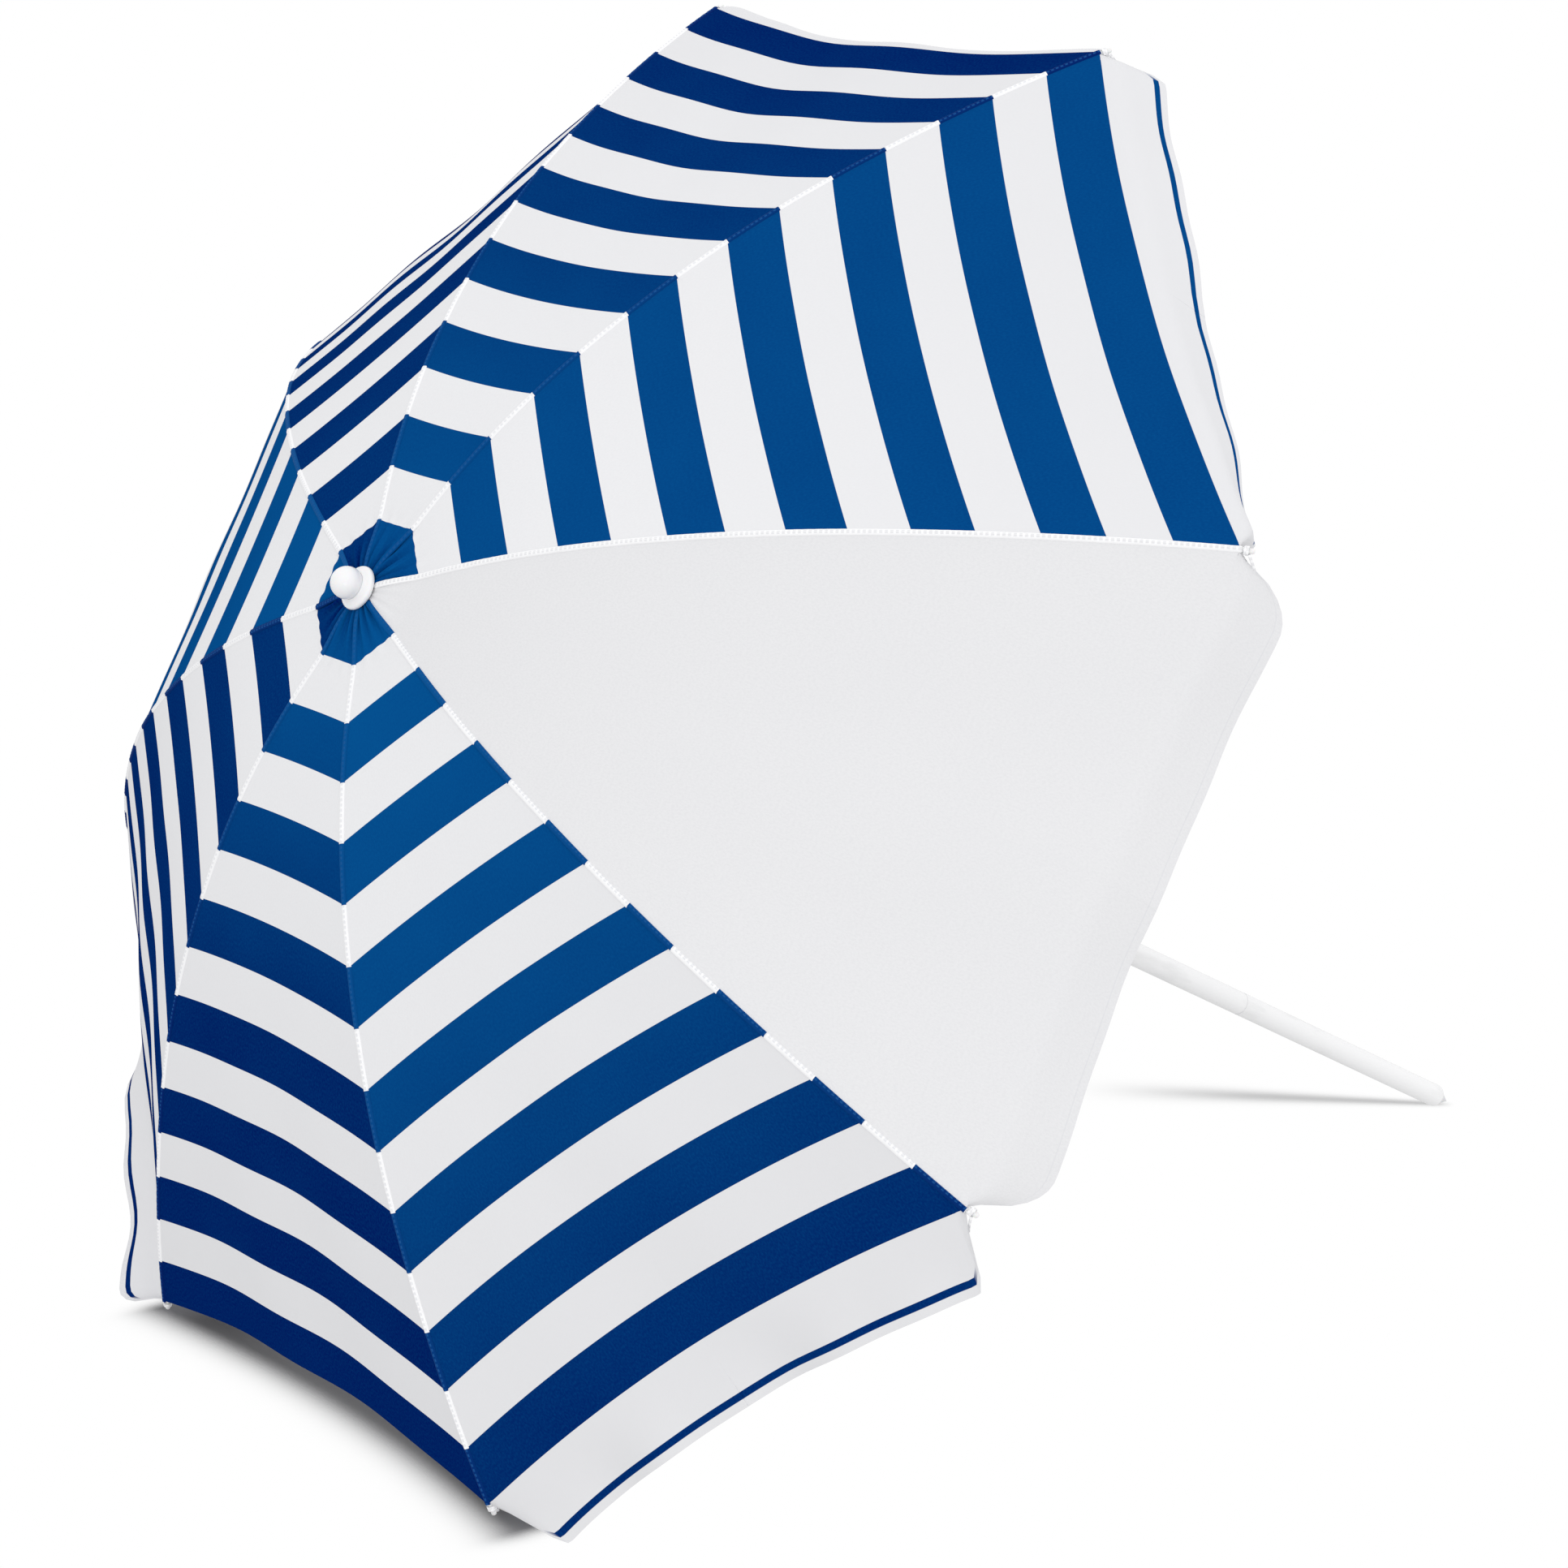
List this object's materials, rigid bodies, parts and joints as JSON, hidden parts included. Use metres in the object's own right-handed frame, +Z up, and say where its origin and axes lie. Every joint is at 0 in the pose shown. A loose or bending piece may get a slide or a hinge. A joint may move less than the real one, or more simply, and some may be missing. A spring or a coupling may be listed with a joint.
{
  "type": "beach umbrella",
  "caption": "Round domed beach umbrella with bowed ribs, a folding wire frame, a tilt joint and a two-part pole with a ground spike.",
  "frame": {"origin": "tip of the ground spike, on the pole's axis", "axes": "+Z up the pole to the finial; -Y towards the plain white gore; the clamp knob is on +X"},
  "size_m": [1.5604, 1.5608, 1.8365],
  "materials": {
    "striped_cloth": "woven polyester, blue and white stripes",
    "plain_cloth": "woven polyester, plain white",
    "pole_enamel": "white satin enamel on aluminium tube",
    "spike_plastic": "light grey moulded",
    "finial_gloss": "white, polished",
    "rib_end_plastic": "white moulded",
    "frame_enamel": "white enamel on steel wire",
    "pin_steel": "bright steel",
    "knob_plastic": "light grey moulded",
    "fitting_plastic": "white moulded nylon"
  },
  "bodies": {
    "lower_pole": {"lower_pole": "pole_enamel", "ground_spike": "spike_plastic", "pole_clamp": "fitting_plastic"},
    "clamp_knob": {"clamp_knob": "knob_plastic"},
    "middle_pole": {"middle_pole": "pole_enamel", "tilt_fork": "fitting_plastic", "tilt_pin": "pin_steel"},
    "tilt_button": {"tilt_button": "knob_plastic"},
    "top_pole": {"top_pole": "pole_enamel", "tilt_tongue": "fitting_plastic", "crown_hub": "fitting_plastic", "crown_pins": "pin_steel", "finial_flange": "finial_gloss", "finial_ball": "finial_gloss"},
    "runner": {"runner": "fitting_plastic"},
    "runner_catch": {"runner_catch": "pin_steel"},
    "rib_1": {"rib_1": "frame_enamel", "rib_fittings_1": "rib_end_plastic"},
    "strut_1": {"strut_1": "frame_enamel"},
    "gore12_rib1": {"gore12_rib1": "striped_cloth"},
    "gore81_rib1": {"gore81_rib1": "striped_cloth"},
    "rib_2": {"rib_2": "frame_enamel", "rib_fittings_2": "rib_end_plastic"},
    "strut_2": {"strut_2": "frame_enamel"},
    "gore23_rib2": {"gore23_rib2": "striped_cloth"},
    "gore12_rib2": {"gore12_rib2": "striped_cloth"},
    "rib_3": {"rib_3": "frame_enamel", "rib_fittings_3": "rib_end_plastic"},
    "strut_3": {"strut_3": "frame_enamel"},
    "gore34_rib3": {"gore34_rib3": "plain_cloth"},
    "gore23_rib3": {"gore23_rib3": "striped_cloth"},
    "rib_4": {"rib_4": "frame_enamel", "rib_fittings_4": "rib_end_plastic"},
    "strut_4": {"strut_4": "frame_enamel"},
    "gore45_rib4": {"gore45_rib4": "striped_cloth"},
    "gore34_rib4": {"gore34_rib4": "plain_cloth"},
    "rib_5": {"rib_5": "frame_enamel", "rib_fittings_5": "rib_end_plastic"},
    "strut_5": {"strut_5": "frame_enamel"},
    "gore56_rib5": {"gore56_rib5": "striped_cloth"},
    "gore45_rib5": {"gore45_rib5": "striped_cloth"},
    "rib_6": {"rib_6": "frame_enamel", "rib_fittings_6": "rib_end_plastic"},
    "strut_6": {"strut_6": "frame_enamel"},
    "gore67_rib6": {"gore67_rib6": "striped_cloth"},
    "gore56_rib6": {"gore56_rib6": "striped_cloth"},
    "rib_7": {"rib_7": "frame_enamel", "rib_fittings_7": "rib_end_plastic"},
    "strut_7": {"strut_7": "frame_enamel"},
    "gore78_rib7": {"gore78_rib7": "striped_cloth"},
    "gore67_rib7": {"gore67_rib7": "striped_cloth"},
    "rib_8": {"rib_8": "frame_enamel", "rib_fittings_8": "rib_end_plastic"},
    "strut_8": {"strut_8": "frame_enamel"},
    "gore81_rib8": {"gore81_rib8": "striped_cloth"},
    "gore78_rib8": {"gore78_rib8": "striped_cloth"}
  },
  "joints": [
    {"name": "pole_height", "type": "slide", "parent": "lower_pole", "child": "middle_pole", "axis": [0, 0, -1], "range_m": [-0.1, 0.24]},
    {"name": "clamp_turn", "type": "hinge", "parent": "lower_pole", "child": "clamp_knob", "pos_m": [0, 0, 0.785], "axis": [1, 0, 0], "range_deg": [0, 270]},
    {"name": "tilt", "type": "hinge", "parent": "middle_pole", "child": "top_pole", "pos_m": [0, 0, 1.08059], "axis": [1, 0, 0], "range_deg": [0, 35]},
    {"name": "tilt_button_press", "type": "slide", "parent": "middle_pole", "child": "tilt_button", "axis": [-1, 0, 0], "range_m": [0, 0.0025], "stiffness_N_per_m": 400, "springref_m": -0.001},
    {"name": "runner_slide", "type": "slide", "parent": "top_pole", "child": "runner", "axis": [0, 0, 1], "range_m": [-0.41135, 0]},
    {"name": "catch_press", "type": "slide", "parent": "top_pole", "child": "runner_catch", "axis": [0, 1, 0], "range_m": [0, 0.0035], "stiffness_N_per_m": 400, "springref_m": -0.001},
    {"name": "rib_1_fold", "type": "hinge", "parent": "top_pole", "child": "rib_1", "pos_m": [0.01848, 0.00765, 1.786], "axis": [-0.3827, 0.9239, 0], "range_deg": [-0.5, 63]},
    {"name": "strut_1_swing", "type": "hinge", "parent": "rib_1", "child": "strut_1", "pos_m": [0.29847, 0.12363, 1.74382], "axis": [-0.3827, 0.9239, 0], "range_deg": [-107.93, 0.5]},
    {"name": "gore12_rib1_gather", "type": "hinge", "parent": "rib_1", "child": "gore12_rib1", "pos_m": [0.01293, 0.00536, 1.79189], "axis": [0.8577, 0.3553, -0.3718], "range_deg": [-66.5, 0.5], "deforming": ["gore12_rib1"]},
    {"name": "gore81_rib1_gather", "type": "hinge", "parent": "rib_1", "child": "gore81_rib1", "pos_m": [0.01293, 0.00536, 1.79189], "axis": [0.8577, 0.3553, -0.3718], "range_deg": [-0.5, 66.5], "deforming": ["gore81_rib1"]},
    {"name": "rib_2_fold", "type": "hinge", "parent": "top_pole", "child": "rib_2", "pos_m": [0.01848, -0.00765, 1.786], "axis": [0.3827, 0.9239, 0], "range_deg": [-0.5, 63]},
    {"name": "strut_2_swing", "type": "hinge", "parent": "rib_2", "child": "strut_2", "pos_m": [0.29847, -0.12363, 1.74382], "axis": [0.3827, 0.9239, 0], "range_deg": [-107.93, 0.5]},
    {"name": "gore23_rib2_gather", "type": "hinge", "parent": "rib_2", "child": "gore23_rib2", "pos_m": [0.01293, -0.00536, 1.79189], "axis": [0.8577, -0.3553, -0.3718], "range_deg": [-66.5, 0.5], "deforming": ["gore23_rib2"]},
    {"name": "gore12_rib2_gather", "type": "hinge", "parent": "rib_2", "child": "gore12_rib2", "pos_m": [0.01293, -0.00536, 1.79189], "axis": [0.8577, -0.3553, -0.3718], "range_deg": [-0.5, 66.5], "deforming": ["gore12_rib2"]},
    {"name": "rib_3_fold", "type": "hinge", "parent": "top_pole", "child": "rib_3", "pos_m": [0.00765, -0.01848, 1.786], "axis": [0.9239, 0.3827, 0], "range_deg": [-0.5, 63]},
    {"name": "strut_3_swing", "type": "hinge", "parent": "rib_3", "child": "strut_3", "pos_m": [0.12363, -0.29847, 1.74382], "axis": [0.9239, 0.3827, 0], "range_deg": [-107.93, 0.5]},
    {"name": "gore34_rib3_gather", "type": "hinge", "parent": "rib_3", "child": "gore34_rib3", "pos_m": [0.00536, -0.01293, 1.79189], "axis": [0.3553, -0.8577, -0.3718], "range_deg": [-66.5, 0.5], "deforming": ["gore34_rib3"]},
    {"name": "gore23_rib3_gather", "type": "hinge", "parent": "rib_3", "child": "gore23_rib3", "pos_m": [0.00536, -0.01293, 1.79189], "axis": [0.3553, -0.8577, -0.3718], "range_deg": [-0.5, 66.5], "deforming": ["gore23_rib3"]},
    {"name": "rib_4_fold", "type": "hinge", "parent": "top_pole", "child": "rib_4", "pos_m": [-0.00765, -0.01848, 1.786], "axis": [0.9239, -0.3827, 0], "range_deg": [-0.5, 63]},
    {"name": "strut_4_swing", "type": "hinge", "parent": "rib_4", "child": "strut_4", "pos_m": [-0.12363, -0.29847, 1.74382], "axis": [0.9239, -0.3827, 0], "range_deg": [-107.93, 0.5]},
    {"name": "gore45_rib4_gather", "type": "hinge", "parent": "rib_4", "child": "gore45_rib4", "pos_m": [-0.00536, -0.01293, 1.79189], "axis": [-0.3553, -0.8577, -0.3718], "range_deg": [-66.5, 0.5], "deforming": ["gore45_rib4"]},
    {"name": "gore34_rib4_gather", "type": "hinge", "parent": "rib_4", "child": "gore34_rib4", "pos_m": [-0.00536, -0.01293, 1.79189], "axis": [-0.3553, -0.8577, -0.3718], "range_deg": [-0.5, 66.5], "deforming": ["gore34_rib4"]},
    {"name": "rib_5_fold", "type": "hinge", "parent": "top_pole", "child": "rib_5", "pos_m": [-0.01848, -0.00765, 1.786], "axis": [0.3827, -0.9239, 0], "range_deg": [-0.5, 63]},
    {"name": "strut_5_swing", "type": "hinge", "parent": "rib_5", "child": "strut_5", "pos_m": [-0.29847, -0.12363, 1.74382], "axis": [0.3827, -0.9239, 0], "range_deg": [-107.93, 0.5]},
    {"name": "gore56_rib5_gather", "type": "hinge", "parent": "rib_5", "child": "gore56_rib5", "pos_m": [-0.01293, -0.00536, 1.79189], "axis": [-0.8577, -0.3553, -0.3718], "range_deg": [-66.5, 0.5], "deforming": ["gore56_rib5"]},
    {"name": "gore45_rib5_gather", "type": "hinge", "parent": "rib_5", "child": "gore45_rib5", "pos_m": [-0.01293, -0.00536, 1.79189], "axis": [-0.8577, -0.3553, -0.3718], "range_deg": [-0.5, 66.5], "deforming": ["gore45_rib5"]},
    {"name": "rib_6_fold", "type": "hinge", "parent": "top_pole", "child": "rib_6", "pos_m": [-0.01848, 0.00765, 1.786], "axis": [-0.3827, -0.9239, 0], "range_deg": [-0.5, 63]},
    {"name": "strut_6_swing", "type": "hinge", "parent": "rib_6", "child": "strut_6", "pos_m": [-0.29847, 0.12363, 1.74382], "axis": [-0.3827, -0.9239, 0], "range_deg": [-107.93, 0.5]},
    {"name": "gore67_rib6_gather", "type": "hinge", "parent": "rib_6", "child": "gore67_rib6", "pos_m": [-0.01293, 0.00536, 1.79189], "axis": [-0.8577, 0.3553, -0.3718], "range_deg": [-66.5, 0.5], "deforming": ["gore67_rib6"]},
    {"name": "gore56_rib6_gather", "type": "hinge", "parent": "rib_6", "child": "gore56_rib6", "pos_m": [-0.01293, 0.00536, 1.79189], "axis": [-0.8577, 0.3553, -0.3718], "range_deg": [-0.5, 66.5], "deforming": ["gore56_rib6"]},
    {"name": "rib_7_fold", "type": "hinge", "parent": "top_pole", "child": "rib_7", "pos_m": [-0.00765, 0.01848, 1.786], "axis": [-0.9239, -0.3827, 0], "range_deg": [-0.5, 63]},
    {"name": "strut_7_swing", "type": "hinge", "parent": "rib_7", "child": "strut_7", "pos_m": [-0.12363, 0.29847, 1.74382], "axis": [-0.9239, -0.3827, 0], "range_deg": [-107.93, 0.5]},
    {"name": "gore78_rib7_gather", "type": "hinge", "parent": "rib_7", "child": "gore78_rib7", "pos_m": [-0.00536, 0.01293, 1.79189], "axis": [-0.3553, 0.8577, -0.3718], "range_deg": [-66.5, 0.5], "deforming": ["gore78_rib7"]},
    {"name": "gore67_rib7_gather", "type": "hinge", "parent": "rib_7", "child": "gore67_rib7", "pos_m": [-0.00536, 0.01293, 1.79189], "axis": [-0.3553, 0.8577, -0.3718], "range_deg": [-0.5, 66.5], "deforming": ["gore67_rib7"]},
    {"name": "rib_8_fold", "type": "hinge", "parent": "top_pole", "child": "rib_8", "pos_m": [0.00765, 0.01848, 1.786], "axis": [-0.9239, 0.3827, 0], "range_deg": [-0.5, 63]},
    {"name": "strut_8_swing", "type": "hinge", "parent": "rib_8", "child": "strut_8", "pos_m": [0.12363, 0.29847, 1.74382], "axis": [-0.9239, 0.3827, 0], "range_deg": [-107.93, 0.5]},
    {"name": "gore81_rib8_gather", "type": "hinge", "parent": "rib_8", "child": "gore81_rib8", "pos_m": [0.00536, 0.01293, 1.79189], "axis": [0.3553, 0.8577, -0.3718], "range_deg": [-66.5, 0.5], "deforming": ["gore81_rib8"]},
    {"name": "gore78_rib8_gather", "type": "hinge", "parent": "rib_8", "child": "gore78_rib8", "pos_m": [0.00536, 0.01293, 1.79189], "axis": [0.3553, 0.8577, -0.3718], "range_deg": [-0.5, 66.5], "deforming": ["gore78_rib8"]}
  ],
  "couplings": [
    {"joint": "rib_1_fold", "follows": "runner_slide", "rad_per_m": -2.6518},
    {"joint": "strut_1_swing", "follows": "runner_slide", "rad_per_m": 4.5582},
    {"joint": "gore12_rib1_gather", "follows": "runner_slide", "rad_per_m": 2.8003},
    {"joint": "gore81_rib1_gather", "follows": "runner_slide", "rad_per_m": -2.8003},
    {"joint": "rib_2_fold", "follows": "runner_slide", "rad_per_m": -2.6518},
    {"joint": "strut_2_swing", "follows": "runner_slide", "rad_per_m": 4.5582},
    {"joint": "gore23_rib2_gather", "follows": "runner_slide", "rad_per_m": 2.8003},
    {"joint": "gore12_rib2_gather", "follows": "runner_slide", "rad_per_m": -2.8003},
    {"joint": "rib_3_fold", "follows": "runner_slide", "rad_per_m": -2.6518},
    {"joint": "strut_3_swing", "follows": "runner_slide", "rad_per_m": 4.5582},
    {"joint": "gore34_rib3_gather", "follows": "runner_slide", "rad_per_m": 2.8003},
    {"joint": "gore23_rib3_gather", "follows": "runner_slide", "rad_per_m": -2.8003},
    {"joint": "rib_4_fold", "follows": "runner_slide", "rad_per_m": -2.6518},
    {"joint": "strut_4_swing", "follows": "runner_slide", "rad_per_m": 4.5582},
    {"joint": "gore45_rib4_gather", "follows": "runner_slide", "rad_per_m": 2.8003},
    {"joint": "gore34_rib4_gather", "follows": "runner_slide", "rad_per_m": -2.8003},
    {"joint": "rib_5_fold", "follows": "runner_slide", "rad_per_m": -2.6518},
    {"joint": "strut_5_swing", "follows": "runner_slide", "rad_per_m": 4.5582},
    {"joint": "gore56_rib5_gather", "follows": "runner_slide", "rad_per_m": 2.8003},
    {"joint": "gore45_rib5_gather", "follows": "runner_slide", "rad_per_m": -2.8003},
    {"joint": "rib_6_fold", "follows": "runner_slide", "rad_per_m": -2.6518},
    {"joint": "strut_6_swing", "follows": "runner_slide", "rad_per_m": 4.5582},
    {"joint": "gore67_rib6_gather", "follows": "runner_slide", "rad_per_m": 2.8003},
    {"joint": "gore56_rib6_gather", "follows": "runner_slide", "rad_per_m": -2.8003},
    {"joint": "rib_7_fold", "follows": "runner_slide", "rad_per_m": -2.6518},
    {"joint": "strut_7_swing", "follows": "runner_slide", "rad_per_m": 4.5582},
    {"joint": "gore78_rib7_gather", "follows": "runner_slide", "rad_per_m": 2.8003},
    {"joint": "gore67_rib7_gather", "follows": "runner_slide", "rad_per_m": -2.8003},
    {"joint": "rib_8_fold", "follows": "runner_slide", "rad_per_m": -2.6518},
    {"joint": "strut_8_swing", "follows": "runner_slide", "rad_per_m": 4.5582},
    {"joint": "gore81_rib8_gather", "follows": "runner_slide", "rad_per_m": 2.8003},
    {"joint": "gore78_rib8_gather", "follows": "runner_slide", "rad_per_m": -2.8003}
  ]
}
